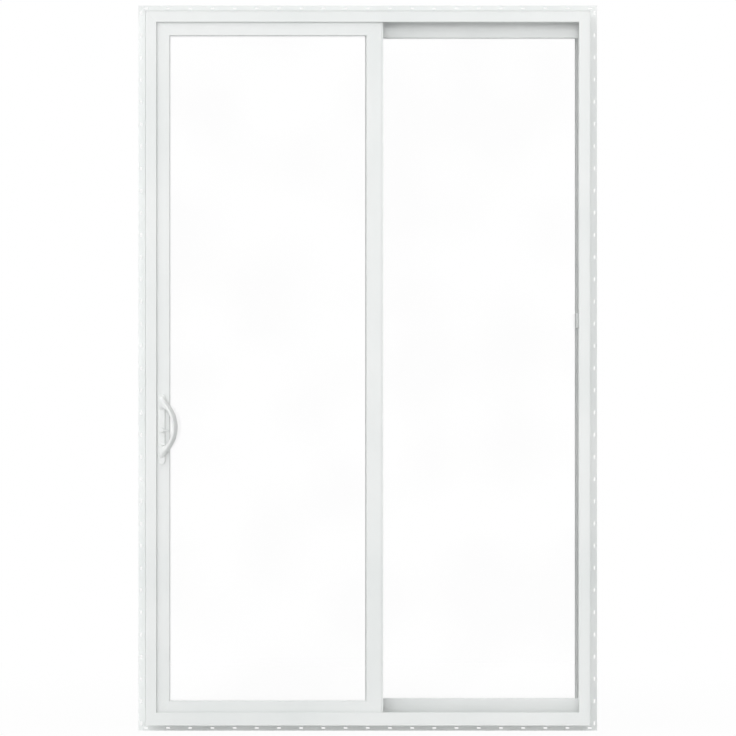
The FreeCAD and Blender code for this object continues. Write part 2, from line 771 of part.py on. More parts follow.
def roller_housing(label, start, axles, axle_z):
    """A folded sheet channel, open below, with its axles from wall to wall."""
    half = cell("housing_width") / 2
    wall = cell("housing_wall")
    low = axle_z - cell("wheel_radius") / 2
    top = panel_base + cell("roller_groove")
    section = [
        (-half, low),
        (wall - half, low),
        (wall - half, top - wall),
        (half - wall, top - wall),
        (half - wall, low),
        (half, low),
        (half, top),
        (-half, top),
    ]
    section = [(track_centre + y, z) for y, z in section]
    body = bar(label, section, False, start, start + cell("housing_length"), False)
    sketch = new_sketch(body, "XZ_Plane", half - track_centre)
    for x in axles:
        add_circle(sketch, x, axle_z, cell("axle_radius"))
    pad(body, sketch, half * 2, reverse=True)
    return body


def roller(label, x, z):
    """A wheel turned about its axle, with flanges on both sides of its tread."""
    half = cell("wheel_width") / 2
    tread = cell("wheel_radius")
    rim = tread + cell("flange_height")
    tread_half = (cell("rail_crown") + cell("flange_height")) / 2
    bore = cell("axle_radius") + cell("axle_gap")
    side = [(bore, half), (rim, half), (tread, tread_half)]
    body = new_body(label, False)
    sketch = new_sketch(body, "XY_Plane", z, (x, track_centre))
    add_outline(sketch, side + [(r, -y) for r, y in reversed(side)])
    wheel = body.newObject("PartDesign::Revolution", f"{label}_turned")
    wheel.Profile = sketch
    wheel.ReferenceAxis = (sketch, ["V_Axis"])
    wheel.Angle = 360
    return body


roller_sets()


# Handle set on the lock stile
def handle_plate(label, face, outward):
    """A long plate with round ends. outward is -1 towards the room and 1 outdoors."""
    body = new_body(label)
    sketch = new_sketch(body, "XZ_Plane", -face)
    add_slot(sketch, handle_x, handle_z, cell("handle_length"), cell("handle_width"), True)
    pad(body, sketch, cell("plate_wall"), reverse=outward > 0)
    bevel_rim(body, face + cell("plate_wall") * outward)


def pull(label, face, side_bow, out_bow, outward):
    """A bowed strap built up of flat facets between sections with cut corners.

    Its middle line is half an ellipse from foot to foot, drawn in a little beside its peak. The sections lie
    flat on the plate at the feet, and are narrow and turned to face the hand between them.
    """
    section_count = 15
    flare_power = 4
    fullness = 1.3
    rightward = FreeCAD.Vector(1, 0, 0)
    off_plate = FreeCAD.Vector(0, outward, 0)
    rise = FreeCAD.Vector(0, 0, cell("grip_span").value)
    bow = rightward * side_bow.value + off_plate * out_bow.value
    turned = bow.cross(rise) * outward
    turned.normalize()
    middle = FreeCAD.Vector(handle_x.value, face.value, (handle_z + cell("grip_lift")).value)
    rings = []
    for i in range(section_count):
        share = 2 * i / (section_count - 1) - 1
        flare = abs(share) ** flare_power
        angle = math.pi / 2 * share
        centre = middle + bow * math.cos(angle) ** fullness + rise * math.sin(angle)
        slope = bow * fullness * math.cos(angle) ** (fullness - 1) * math.sin(angle)
        tangent = rise * math.cos(angle) - slope
        tangent.normalize()
        along = tangent * (1 - flare) - off_plate * math.copysign(flare, share)
        along.normalize()
        across = turned * (1 - flare) + rightward * flare
        across -= along * across.dot(along)
        across.normalize()
        wide = across * blend("grip_width", "foot_width", flare) / 2
        high = along.cross(across) * blend("grip_thick", "foot_height", flare) / 2
        rings.append(cut_corners(centre, wide, high, blend("grip_corner", "foot_corner", flare)))
    feature = doc.addObject("Part::Feature", label)
    feature.Label = label
    feature.Shape = faceted_solid(rings)
    parts.append(feature)


def faceted_solid(rings):
    """A solid with two triangles for each side between neighbouring rings, closed at both ends."""
    faces = [flat_face(rings[0]), flat_face(rings[-1])]
    for lower, upper in zip(rings, rings[1:]):
        for i in range(len(lower)):
            faces.append(flat_face([lower[i - 1], lower[i], upper[i]]))
            faces.append(flat_face([lower[i - 1], upper[i], upper[i - 1]]))
    return Part.makeSolid(Part.makeShell(faces))


def flat_face(corners):
    return Part.Face(Part.makePolygon(corners + corners[:1]))


def blend(start, end, share):
    return cell(start).value * (1 - share) + cell(end).value * share


def cut_corners(centre, wide, high, cut):
    """Points round an oblong with its corners cut off. wide and high reach from its centre to its sides."""
    narrower = wide * (1 - cut / wide.Length)
    lower = high * (1 - cut / high.Length)
    quarter = [wide + lower, narrower + high, high - narrower, lower - wide]
    return [centre + corner for corner in quarter] + [centre - corner for corner in quarter]


def thumb_latch():
    """A hub on the inside plate with a tapered blade that points to the glass."""
    body = new_body("thumb_latch")
    plate_face = slide_front - cell("plate_wall")
    level = handle_z - cell("latch_drop")
    hub = new_sketch(body, "XZ_Plane", cell("seat_gap") - plate_face)
    add_circle(hub, handle_x, level, cell("latch_hub"))
    pad(body, hub, cell("latch_depth") - cell("seat_gap"))
    blade = new_sketch(body, "XZ_Plane", cell("latch_lift") - plate_face)
    root = cell("latch_root") / 2
    tip = cell("latch_tip") / 2
    upper = [(zero, root), (cell("latch_reach") - tip, tip), (cell("latch_reach"), tip / 2)]
    outline = upper + [(x, -z) for x, z in reversed(upper)]
    add_outline(blade, [(handle_x + x, level + z) for x, z in outline])
    pad(body, blade, cell("latch_depth") - cell("latch_lift"))


def key_cylinder():
    body = new_body("key_cylinder")
    face = slide_back + cell("plate_wall")
    level = handle_z - cell("cylinder_drop")
    sketch = new_sketch(body, "XZ_Plane", -face)
    add_circle(sketch, handle_x, level, cell("cylinder_radius"))
    pad(body, sketch, cell("cylinder_out"), reverse=True)
    keyway = new_sketch(body, "XZ_Plane", -(face + cell("cylinder_out")))
    add_slot(keyway, handle_x, level, cell("keyway_height"), cell("keyway_width"), True)
    pocket(body, keyway, cell("keyway_depth"), reverse=True)


handle_plate("inside_handle_plate", slide_front, -1)
handle_plate("outside_handle_plate", slide_back, 1)
pull("inside_pull", slide_front - cell("plate_wall"), cell("grip_side"), cell("grip_out"), -1)
pull("outside_pull", slide_back + cell("plate_wall"), zero, cell("outside_grip_out"), 1)
thumb_latch()
key_cylinder()


# Lock faceplate, keeper, rubber stop and seals
def slotted_strip(label, x, length, width):
    """A thin upright strip with round ends and two slots for the lock's hooks."""
    body = new_body(label)
    sketch = new_sketch(body, "YZ_Plane", x)
    add_slot(sketch, track_centre, handle_z, length, width, True)
    pad(body, sketch, cell("strip_wall"))
    slots = new_sketch(body, "YZ_Plane", x)
    for side in (-1, 1):
        level = handle_z + cell("hook_slot_offset") * side
        add_slot(slots, track_centre, level, cell("hook_slot_length"), cell("hook_slot_width"), True)
    cut_through(body, slots)


def panel_stop():
    """Rubber stop on the floor of the fixed jamb's track, bevelled where the panel meets it."""
    left = track_half - cell("stop_length")
    half = cell("stop_width") / 2
    slope = cell("stop_bevel")
    section = [
        (track_half, track_centre - half),
        (track_half, track_centre + half),
        (left + slope, track_centre + half),
        (left, track_centre + half - slope),
        (left, track_centre - half + slope),
        (left + slope, track_centre - half),
    ]
    bar("panel_stop", section, True, cell("stop_level"), cell("stop_level") + cell("stop_height"))


def pile_seals():
    """Strips of pile on the back of the frame's lip, along the head, the lock jamb and the sill's dam."""
    width = cell("seal_width")
    right = cell("lip_reach") - half_width - cell("seal_inset")
    left = right - width
    high = frame_top - cell("lip_reach") + cell("seal_inset")
    low = cell("dam_height") - cell("seal_inset")
    face = lip_back + cell("seal_height")
    gap = cell("seat_gap")
    group("pile_seals", [
        block("head_seal", [left, lip_back, high], [track_half, face, high + width], False),
        block("jamb_seal", [left, lip_back, low + gap], [right, face, high - gap], False),
        block("dam_seal", [left, lip_back, low - width], [track_half, face, low], False),
    ])


faceplate_x = slide_left + cell("edge_groove") - cell("strip_wall")
slotted_strip("lock_faceplate", faceplate_x, cell("faceplate_length"), cell("faceplate_width"))
slotted_strip("keeper", -track_half, cell("keeper_length"), cell("keeper_width"))
panel_stop()
pile_seals()

doc.recompute()

faults = [o.Name for o in doc.Objects if "Invalid" in o.State or "Error" in o.State]
for part in parts:
    if part.Shape.isNull() or not part.Shape.isValid() or part.Shape.Volume <= 0:
        faults.append(part.Label)
if faults:
    raise SystemExit(f"these objects failed: {faults}")

os.makedirs("parts", exist_ok=True)
for part in parts:
    part.Shape.exportStep(f"parts/{part.Label}.step")
    box = part.Shape.BoundBox
    low = f"{box.XMin:.1f}, {box.YMin:.1f}, {box.ZMin:.1f}"
    high = f"{box.XMax:.1f}, {box.YMax:.1f}, {box.ZMax:.1f}"
    print(f"{part.Label}: {len(part.Shape.Solids)} solid(s), {low} to {high}")
print(f"{len(parts)} parts")
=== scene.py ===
import bmesh
import bpy
import math
from mathutils import Matrix, Vector


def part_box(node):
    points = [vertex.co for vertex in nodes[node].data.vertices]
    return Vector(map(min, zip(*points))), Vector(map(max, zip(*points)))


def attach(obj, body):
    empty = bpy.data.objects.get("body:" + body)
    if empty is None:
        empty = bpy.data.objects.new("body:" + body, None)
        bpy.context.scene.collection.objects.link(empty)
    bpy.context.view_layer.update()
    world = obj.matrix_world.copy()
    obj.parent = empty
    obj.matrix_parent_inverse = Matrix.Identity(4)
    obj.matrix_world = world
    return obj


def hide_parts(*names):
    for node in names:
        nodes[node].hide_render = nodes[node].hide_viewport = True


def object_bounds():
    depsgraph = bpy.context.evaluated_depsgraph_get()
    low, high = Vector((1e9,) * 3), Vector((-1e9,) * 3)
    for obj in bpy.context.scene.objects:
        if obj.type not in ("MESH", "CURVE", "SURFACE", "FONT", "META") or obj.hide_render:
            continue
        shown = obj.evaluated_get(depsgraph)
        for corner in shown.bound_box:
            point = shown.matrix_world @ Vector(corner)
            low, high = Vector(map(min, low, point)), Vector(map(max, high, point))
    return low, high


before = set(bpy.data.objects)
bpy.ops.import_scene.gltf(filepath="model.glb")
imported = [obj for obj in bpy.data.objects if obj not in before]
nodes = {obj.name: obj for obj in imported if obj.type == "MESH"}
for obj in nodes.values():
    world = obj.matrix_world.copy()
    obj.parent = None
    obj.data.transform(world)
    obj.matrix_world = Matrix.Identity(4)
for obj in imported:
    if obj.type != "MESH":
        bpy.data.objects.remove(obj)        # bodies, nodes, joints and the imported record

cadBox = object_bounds()
print("frame loaded")


# Small tools
def hexColour(code):
    # an sRGB hex value as linear RGBA
    channels = [int(code[i:i + 2], 16) / 255 for i in (1, 3, 5)]
    return (*[c / 12.92 if c <= 0.04045 else ((c + 0.055) / 1.055) ** 2.4 for c in channels], 1.0)


def addNode(tree, kind, inputs=None, **settings):
    # one shader node with its settings, and its inputs as values or links
    node = tree.nodes.new(kind)
    for name, value in settings.items():
        setattr(node, name, value)
    for name, value in (inputs or {}).items():
        if isinstance(value, bpy.types.NodeSocket):
            tree.links.new(value, node.inputs[name])
        else:
            node.inputs[name].default_value = value
    return node


def newMaterial(name):
    material = bpy.data.materials.new(name)
    material.use_nodes = True
    material.node_tree.nodes.clear()
    return material, material.node_tree


def deselectAll():
    if bpy.context.mode != "OBJECT":
        bpy.ops.object.mode_set(mode="OBJECT")
    bpy.ops.object.select_all(action="DESELECT")


def selectOnly(*objects):
    deselectAll()
    for item in objects:
        item.select_set(True)
    bpy.context.view_layer.objects.active = objects[0]


def selectParts(piece, kind, test):
    # in edit mode, selects the vertices, edges or faces that the test picks out
    bpy.ops.mesh.select_mode(type={"verts": "VERT", "edges": "EDGE", "faces": "FACE"}[kind])
    bpy.ops.mesh.select_all(action="DESELECT")
    mesh = bmesh.from_edit_mesh(piece.data)
    for part in getattr(mesh, kind):
        if test(part):
            part.select_set(True)
    mesh.select_flush_mode()
    bmesh.update_edit_mesh(piece.data)


def useModifier(piece, kind, **settings):
    # adds a modifier and applies it
    selectOnly(piece)
    modifier = piece.modifiers.new(kind.title(), kind)
    for name, value in settings.items():
        setattr(modifier, name, value)
    bpy.ops.object.modifier_apply(modifier=modifier.name)


def finishPiece(piece, name, body, material, replaced=()):
    # the place goes into the mesh, and the piece gets its name, body, slot and material
    selectOnly(piece)
    bpy.ops.object.transform_apply(location=True, rotation=True, scale=True)
    piece.name = name
    piece.data.name = name
    piece.data.materials.clear()
    piece.data.materials.append(material)
    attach(piece, body)
    if replaced:
        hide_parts(*replaced)


# Camera, straight on to the door at its middle height
cameraSet = {
    "place": (0.0008, -6.784, 1.2133),
    "lens": 96.65,      # on a 36 mm sensor
    "reach": 200,
}
bpy.ops.object.camera_add(location=cameraSet["place"], rotation=(math.radians(90), 0, 0))
camera = bpy.context.object
camera.name = "roomCamera"
camera.data.lens = cameraSet["lens"]
camera.data.clip_end = cameraSet["reach"]
bpy.context.scene.camera = camera
bpy.context.scene.view_settings.view_transform = "Standard"


# Light: broad soft lamps in a pale surround, three on the room's side, the strongest from the left, and two behind
lampSet = {
    "leftLamp": {"from": (-0.78, -0.60, 0.18), "spread": 70, "power": 1.28},
    "roomLamp": {"from": (0.03, -1.0, 0.05), "spread": 40, "power": 1.05},
    "upperLamp": {"from": (0, -0.45, 0.89), "spread": 55, "power": 0.92},
    "gardenLamp": {"from": (-0.60, 1.0, 0.10), "spread": 70, "power": 2.1},
    "rightLamp": {"from": (1.0, 0.72, 0.10), "spread": 70, "power": 1.2},
}
paneNames = ["panel_inner_pane", "panel_outer_pane", "fixed_inner_pane", "fixed_outer_pane"]
unlitByLamps = bpy.data.collections.new("unlitByLamps")     # the panes mirror the white surround and not the lamps
for name in paneNames:
    unlitByLamps.objects.link(nodes[name])
for member in unlitByLamps.collection_objects:
    member.light_linking.link_state = "EXCLUDE"
for lampName, lamp in lampSet.items():
    source = Vector(lamp["from"])
    bpy.ops.object.light_add(
        type="SUN", location=source * 6, rotation=(-source).to_track_quat("-Z", "Y").to_euler())
    light = bpy.context.object
    light.name = lampName
    light.data.angle = math.radians(lamp["spread"])
    light.data.energy = lamp["power"]
    light.light_linking.receiver_collection = unlitByLamps

surroundSet = {"strength": 0.21, "colour": "#FAFBFB", "seen": "#FFFFFF"}
world = bpy.data.worlds.new("paleSurround")
bpy.context.scene.world = world
world.use_nodes = True
tree = world.node_tree
tree.nodes.clear()


def seenRays(tree):
    # 1 for rays that show the surround itself: to the camera, in a reflection or through glass
    path = addNode(tree, "ShaderNodeLightPath").outputs
    either = addNode(
        tree, "ShaderNodeMath", {0: path["Is Camera Ray"], 1: path["Is Glossy Ray"]}, operation="MAXIMUM")
    seen = addNode(
        tree, "ShaderNodeMath", {0: either.outputs[0], 1: path["Is Transmission Ray"]}, operation="MAXIMUM")
    return seen.outputs[0]


ambient = addNode(tree, "ShaderNodeBackground", {
    "Color": hexColour(surroundSet["colour"]), "Strength": surroundSet["strength"]})
shown = addNode(tree, "ShaderNodeBackground", {"Color": hexColour(surroundSet["seen"]), "Strength": 1.0})
mixed = addNode(tree, "ShaderNodeMixShader", {0: seenRays(tree), 1: ambient.outputs[0], 2: shown.outputs[0]})
addNode(tree, "ShaderNodeOutputWorld", {"Surface": mixed.outputs[0]})

floorSet = {
    "size": 400,
    "colour": "#EEEEEE",
    "nearShown": 0.96, "farShown": 1.0,     # share of white seen under the door and away from it
    "near": 0.2, "far": 1.6,                # metres over which the one turns into the other
    "squeeze": (0.4, 1.0, 0.0),             # the patch is longer along the door than across it
}
bpy.ops.mesh.primitive_plane_add(size=floorSet["size"], location=(0, 0, cadBox[0][2]))
floor = bpy.context.object
floor.name = "studioFloor"
floorMaterial, tree = newMaterial("paleStudioFloor")
paper = addNode(tree, "ShaderNodeBsdfDiffuse", {"Color": hexColour(floorSet["colour"])})
glow = addNode(tree, "ShaderNodeEmission", {"Color": hexColour("#FFFFFF"), "Strength": 1.0})
place = addNode(tree, "ShaderNodeTexCoord")
squeezed = addNode(tree, "ShaderNodeMapping", {"Vector": place.outputs["Object"], "Scale": floorSet["squeeze"]})
distance = addNode(tree, "ShaderNodeVectorMath", {0: squeezed.outputs[0]}, operation="LENGTH")
white = addNode(tree, "ShaderNodeMapRange", {
    "Value": distance.outputs["Value"], "From Min": floorSet["near"], "From Max": floorSet["far"],
    "To Min": floorSet["nearShown"], "To Max": floorSet["farShown"]}, interpolation_type="SMOOTHSTEP")
share = addNode(tree, "ShaderNodeMath", {0: seenRays(tree), 1: white.outputs[0]}, operation="MULTIPLY")
mixed = addNode(tree, "ShaderNodeMixShader", {0: share.outputs[0], 1: paper.outputs[0], 2: glow.outputs[0]})
addNode(tree, "ShaderNodeOutputMaterial", {"Surface": mixed.outputs[0]})
floor.data.materials.append(floorMaterial)
print("camera, lamps and floor set")


# Materials
def mottled(tree, scale, low, high, detail=2.0, position=(0.35, 0.65), stretch=(1, 1, 1)):
    # noise on Object coordinates, scale in features per metre, ramped between two colours
    place = addNode(tree, "ShaderNodeTexCoord")
    spread = addNode(tree, "ShaderNodeMapping", {"Vector": place.outputs["Object"], "Scale": stretch})
    noise = addNode(tree, "ShaderNodeTexNoise", {"Vector": spread.outputs[0], "Scale": scale, "Detail": detail})
    ramp = addNode(tree, "ShaderNodeValToRGB", {"Fac": noise.outputs["Fac"]})
    ramp.color_ramp.elements[0].position = position[0]
    ramp.color_ramp.elements[1].position = position[1]
    ramp.color_ramp.elements[0].color = low
    ramp.color_ramp.elements[1].color = high
    return noise.outputs["Fac"], ramp.outputs["Color"]


def grey(value):
    return (value, value, value, 1.0)


vinylSet = {
    "light": "#F0F2F1",
    "shade": "#EAEDEC",
    "driftLength": 0.35,        # metres from one drift of the white to the next
    "dieLine": 0.004,           # width of the die lines, drawn coarser than the real 0.5 mm so that they show
    "dieRun": 0.6,              # length over which a die line fades
    "roughness": (0.34, 0.44),
    "bump": 0.08, "lineDepth": 0.0004,
    "ior": 1.53,
}


def makeVinyl(name, along):
    # rigid PVC, extruded: a satin white whose faint die lines run along the bar
    material, tree = newMaterial(name)
    across = 1 / vinylSet["dieLine"]
    run = 1 / vinylSet["dieRun"]
    stretch = tuple(run if axis == along else across for axis in "xyz")
    drift = mottled(tree, 1 / vinylSet["driftLength"], hexColour(vinylSet["shade"]), hexColour(vinylSet["light"]))[1]
    lines, sheen = mottled(tree, 1.0, grey(vinylSet["roughness"][0]), grey(vinylSet["roughness"][1]), stretch=stretch)
    bump = addNode(tree, "ShaderNodeBump", {
        "Height": lines, "Strength": vinylSet["bump"], "Distance": vinylSet["lineDepth"]})
    plastic = addNode(tree, "ShaderNodeBsdfPrincipled", {
        "Base Color": drift, "Roughness": sheen, "Normal": bump.outputs[0], "IOR": vinylSet["ior"]})
    addNode(tree, "ShaderNodeOutputMaterial", {"Surface": plastic.outputs[0]})
    return material


vinylAcross = makeVinyl("extrudedVinylAcross", "x")
vinylUpright = makeVinyl("extrudedVinylUpright", "z")

enamelSet = {
    "light": "#F1F3F2",
    "shade": "#ECEEED",
    "patch": 0.04,              # metres from one drift of the white to the next
    "peel": 0.0022,             # from one dimple of the orange peel to the next
    "roughness": (0.24, 0.32),
    "bump": 0.12, "peelDepth": 0.0003,
    "ior": 1.5,
}


def makeEnamel():
    # zinc casting, powder coated: a glossier white with the fine orange peel of baked powder
    material, tree = newMaterial("powderCoatedZinc")
    colour = mottled(tree, 1 / enamelSet["patch"], hexColour(enamelSet["shade"]), hexColour(enamelSet["light"]))[1]
    peel, sheen = mottled(
        tree, 1 / enamelSet["peel"], grey(enamelSet["roughness"][0]), grey(enamelSet["roughness"][1]))
    bump = addNode(tree, "ShaderNodeBump", {
        "Height": peel, "Strength": enamelSet["bump"], "Distance": enamelSet["peelDepth"]})
    paint = addNode(tree, "ShaderNodeBsdfPrincipled", {
        "Base Color": colour, "Roughness": sheen, "Normal": bump.outputs[0], "IOR": enamelSet["ior"]})
    addNode(tree, "ShaderNodeOutputMaterial", {"Surface": paint.outputs[0]})
    return material


enamel = makeEnamel()

glassSet = {
    "light": "#FFFFFF",
    "shade": "#FEFEFE",
    "wave": 0.28,               # metres from one roller wave to the next
    "bump": 0.05, "waveDepth": 0.0004,
    "ior": 1.52,
}


def makeGlass():
    # soda-lime float glass, tempered: clear, with the faint roller wave of tempering in its reflections
    material, tree = newMaterial("temperedFloatGlass")
    wave, tint = mottled(
        tree, 1 / glassSet["wave"], hexColour(glassSet["shade"]), hexColour(glassSet["light"]), detail=0.0)
    bump = addNode(tree, "ShaderNodeBump", {
        "Height": wave, "Strength": glassSet["bump"], "Distance": glassSet["waveDepth"]})
    glass = addNode(tree, "ShaderNodeBsdfPrincipled", {
        "Base Color": tint, "Roughness": 0.0, "IOR": glassSet["ior"], "Transmission Weight": 1.0,
        "Normal": bump.outputs[0]})
    # lamplight goes straight through
    clear = addNode(tree, "ShaderNodeBsdfTransparent", {"Color": hexColour(glassSet["shade"])})
    path = addNode(tree, "ShaderNodeLightPath")
    both = addNode(tree, "ShaderNodeMixShader", {
        0: path.outputs["Is Shadow Ray"], 1: glass.outputs[0], 2: clear.outputs[0]})
    addNode(tree, "ShaderNodeOutputMaterial", {"Surface": both.outputs[0]})
    return material


floatGlass = makeGlass()


def makeMetal(name, low, high, scale, stretch, roughness, bumpStrength):
    # a metal whose colour and gloss follow one stretched noise
    material, tree = newMaterial(name)
    grain, colour = mottled(tree, scale, hexColour(low), hexColour(high), detail=4.0, stretch=stretch)
    sheen = addNode(tree, "ShaderNodeMapRange", {"Value": grain, "To Min": roughness[0], "To Max": roughness[1]})
    bump = addNode(tree, "ShaderNodeBump", {"Height": grain, "Strength": bumpStrength, "Distance": 0.0002})
    metal = addNode(tree, "ShaderNodeBsdfPrincipled", {
        "Base Color": colour, "Metallic": 1.0, "Roughness": sheen.outputs[0], "Normal": bump.outputs[0]})
    addNode(tree, "ShaderNodeOutputMaterial", {"Surface": metal.outputs[0]})
    return material


# Aluminium, extruded and left in mill finish: drawn lines 1.5 mm apart run along it
aluminium = makeMetal("millFinishAluminium", "#B9BCBE", "#D0D2D3", 1.0, (12, 650, 650), (0.3, 0.5), 0.2)
# Steel, pressed and zinc plated: a cool grey with soft 8 mm clouds from the plating bath
zincSteel = makeMetal("zincPlatedSteel", "#A9AEB2", "#C3C7CA", 120.0, (1, 1, 1), (0.25, 0.42), 0.08)


def makeRubbery(name, low, high, grainSize, roughness, bumpStrength, stretch=(1, 1, 1)):
    # a soft matt material, with a fine grain in its colour and its bump
    material, tree = newMaterial(name)
    grain, colour = mottled(tree, 1 / grainSize, hexColour(low), hexColour(high), detail=3.0, stretch=stretch)
    bump = addNode(tree, "ShaderNodeBump", {"Height": grain, "Strength": bumpStrength, "Distance": 0.0004})
    stuff = addNode(tree, "ShaderNodeBsdfPrincipled", {
        "Base Color": colour, "Roughness": roughness, "Normal": bump.outputs[0], "IOR": 1.5})
    addNode(tree, "ShaderNodeOutputMaterial", {"Surface": stuff.outputs[0]})
    return material


# Flexible PVC, co-extruded: a white lip, duller than the frame
gasketVinyl = makeRubbery("flexibleVinylGasket", "#E2E5E4", "#EAECEB", 0.003, 0.6, 0.2)
# Thermoplastic rubber, moulded: matt, with a fine 1.5 mm grain
paleRubber = makeRubbery("mouldedPaleRubber", "#CFD2D1", "#DADCDB", 0.0015, 0.75, 0.4)
# Polypropylene pile, woven: upright fibres drawn 0.8 mm apart, coarser than the real 0.1 mm
pile = makeRubbery("wovenPile", "#AEB2B1", "#CACDCC", 0.0008, 0.9, 0.8, (1, 0.25, 1))
print("materials made")


# CAD nodes keep their shape: each gets its material, and a small bevel where an edge would catch light
def listed(words):
    return words.split()


nodeFinish = {
    "across": (vinylAcross, listed(
        "head sill head_nail_fin sill_nail_fin panel_top_rail panel_bottom_rail fixed_top_rail fixed_bottom_rail")),
    "upright": (vinylUpright, listed(
        "lock_jamb fixed_jamb lock_jamb_nail_fin fixed_jamb_nail_fin panel_lock_stile panel_meeting_stile "
        "fixed_meeting_stile fixed_jamb_stile panel_glazing_beads fixed_glazing_beads")),
    "enamelled": (enamel, listed(
        "panel_interlock fixed_interlock inside_handle_plate outside_handle_plate inside_pull outside_pull "
        "thumb_latch")),
    "glazed": (floatGlass, paneNames),
    "aluminium": (aluminium, listed("sill_rail panel_glass_spacer fixed_glass_spacer")),
    "steel": (zincSteel, listed("roller_housings rollers keeper lock_faceplate key_cylinder")),
    "rubber": (paleRubber, ["panel_stop"]),
    "pile": (pile, ["pile_seals"]),
}
softenSet = {
    "width": {
        "across": 0.0004, "upright": 0.0004, "enamelled": 0.0008, "aluminium": 0.0002, "steel": 0.0003,
        "rubber": 0.0008},
    "plain": ("panel_glass_spacer", "fixed_glass_spacer"),      # sealed in between the panes
    "weld": 0.00001,
    "flat": 0.5,        # degrees up to which faces are one flat
    "sharp": 28,        # degrees from which an edge is rounded
    "segments": 2,
}
for finish, (material, names) in nodeFinish.items():
    for name in names:
        node = nodes[name]
        node.data.materials.clear()
        node.data.materials.append(material)
        if finish not in softenSet["width"] or name in softenSet["plain"]:
            continue
        weld = node.modifiers.new("weldCorners", "WELD")
        weld.merge_threshold = softenSet["weld"]
        flatten = node.modifiers.new("mergeFlats", "DECIMATE")
        flatten.decimate_type = "DISSOLVE"
        flatten.angle_limit = math.radians(softenSet["flat"])
        soften = node.modifiers.new("softenEdges", "BEVEL")
        soften.width = softenSet["width"][finish]
        soften.segments = softenSet["segments"]
        soften.limit_method = "ANGLE"
        soften.angle_limit = math.radians(softenSet["sharp"])
        soften.harden_normals = True
print("CAD nodes finished")


# Pulls: oblongs with cut corners, bridged along an arc from foot to foot and smoothed into a rounded strap
pullSet = {
    "span": 0.081,                          # middle of the pull to the middle of a foot
    "strap": (0.0206, 0.0104, 0.0018),      # width, thickness and cut corner at the middle
    "foot": (0.0234, 0.0488, 0.008),        # the same at the feet
    "flarePower": 4,                        # more keeps the flare closer to the feet
    "rings": 15,
    "lift": 0.0065,                         # the plate's middle to the pull's
    "fullness": 1.3,                        # 1 makes the bow an ellipse, and more draws it in beside its peak
    "smoothing": 3,
}
insidePullSet = {"bow": (0.050, -0.0413), "node": "inside_pull", "plate": "inside_handle_plate", "name": "insideGrip"}
outsidePullSet = {"bow": (0.0, 0.036), "node": "outside_pull", "plate": "outside_handle_plate", "name": "outsideGrip"}


def selectRings(piece, rings):
    bpy.ops.mesh.select_all(action="DESELECT")
    for ring in rings:
        piece.vertex_groups.active_index = ring
        bpy.ops.object.vertex_group_select()


def makePull(pull):
    low, high = [Vector(corner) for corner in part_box(pull["plate"])]
    outward = 1 if pull["bow"][1] > 0 else -1
    middle = Vector(((low.x + high.x) / 2, high.y if outward > 0 else low.y, (low.z + high.z) / 2 + pullSet["lift"]))
    bow = Vector((pull["bow"][0], pull["bow"][1], 0))
    lean = bow.normalized()
    up = Vector((0, 0, 1))
    offPlate = Vector((0, outward, 0))
    turned = lean.cross(up) * outward
    deselectAll()
    bpy.ops.object.add(type="MESH", location=(0, 0, 0))
    piece = bpy.context.object
    bpy.ops.object.mode_set(mode="EDIT")
    last = pullSet["rings"] - 1
    for i in range(last + 1):
        share = 2 * i / last - 1
        flare = abs(share) ** pullSet["flarePower"]
        angle = math.radians(90) * share
        fullness = pullSet["fullness"]
        centre = middle + bow * math.cos(angle) ** fullness + up * pullSet["span"] * math.sin(angle)
        slope = bow * fullness * math.cos(angle) ** (fullness - 1) * math.sin(angle)
        tangent = (up * pullSet["span"] * math.cos(angle) - slope).normalized()
        along = tangent * (1 - flare) - offPlate * math.copysign(flare, share)
        along.normalize()
        across = turned * (1 - flare) + Vector((1, 0, 0)) * flare
        across = (across - along * across.dot(along)).normalized()
        turn = Matrix((across, along.cross(across), along)).transposed()
        width, height, cut = [
            strap * (1 - flare) + foot * flare for strap, foot in zip(pullSet["strap"], pullSet["foot"])]
        bpy.ops.mesh.select_all(action="DESELECT")
        bpy.ops.mesh.primitive_plane_add(size=1, location=centre, rotation=turn.to_euler())
        bpy.ops.transform.resize(
            value=(width, height, 1), orient_type="GLOBAL", orient_matrix=turn, orient_matrix_type="GLOBAL",
            center_override=centre)
        bpy.ops.mesh.bevel(affect="VERTICES", offset=cut, segments=1)
        bpy.ops.object.vertex_group_assign_new()
        bpy.ops.mesh.delete(type="ONLY_FACE")
    for i in range(last):
        selectRings(piece, (i, i + 1))
        bpy.ops.mesh.bridge_edge_loops()
    for foot in (0, last):
        selectRings(piece, (foot,))
        bpy.ops.mesh.edge_face_add()
        bpy.ops.transform.edge_crease(value=1.0)
    bpy.ops.object.vertex_group_remove(all=True)
    bpy.ops.mesh.select_all(action="SELECT")
    bpy.ops.mesh.normals_make_consistent(inside=False)
    bpy.ops.object.mode_set(mode="OBJECT")
    useModifier(piece, "SUBSURF", levels=pullSet["smoothing"], render_levels=pullSet["smoothing"])
    bpy.ops.object.shade_smooth_by_angle(angle=math.radians(50))
    finishPiece(piece, pull["name"], "sliding_panel", enamel, [pull["node"]])


makePull(insidePullSet)
makePull(outsidePullSet)
print("pulls bridged")


# Thumb turn: a rounded hub with a tapered blade joined on
thumbSet = {
    "hubRadius": 0.009, "hubRound": 0.0022,
    "bladeLift": 0.005,         # the blade's back off the plate
    "overlap": 0.0003,
    "rootHeight": 0.0078, "tipHeight": 0.0046,
    "tipDepth": 0.8,            # of the depth at the root
    "bladeRound": 0.0014,
    "seamRound": 0.00045,
}


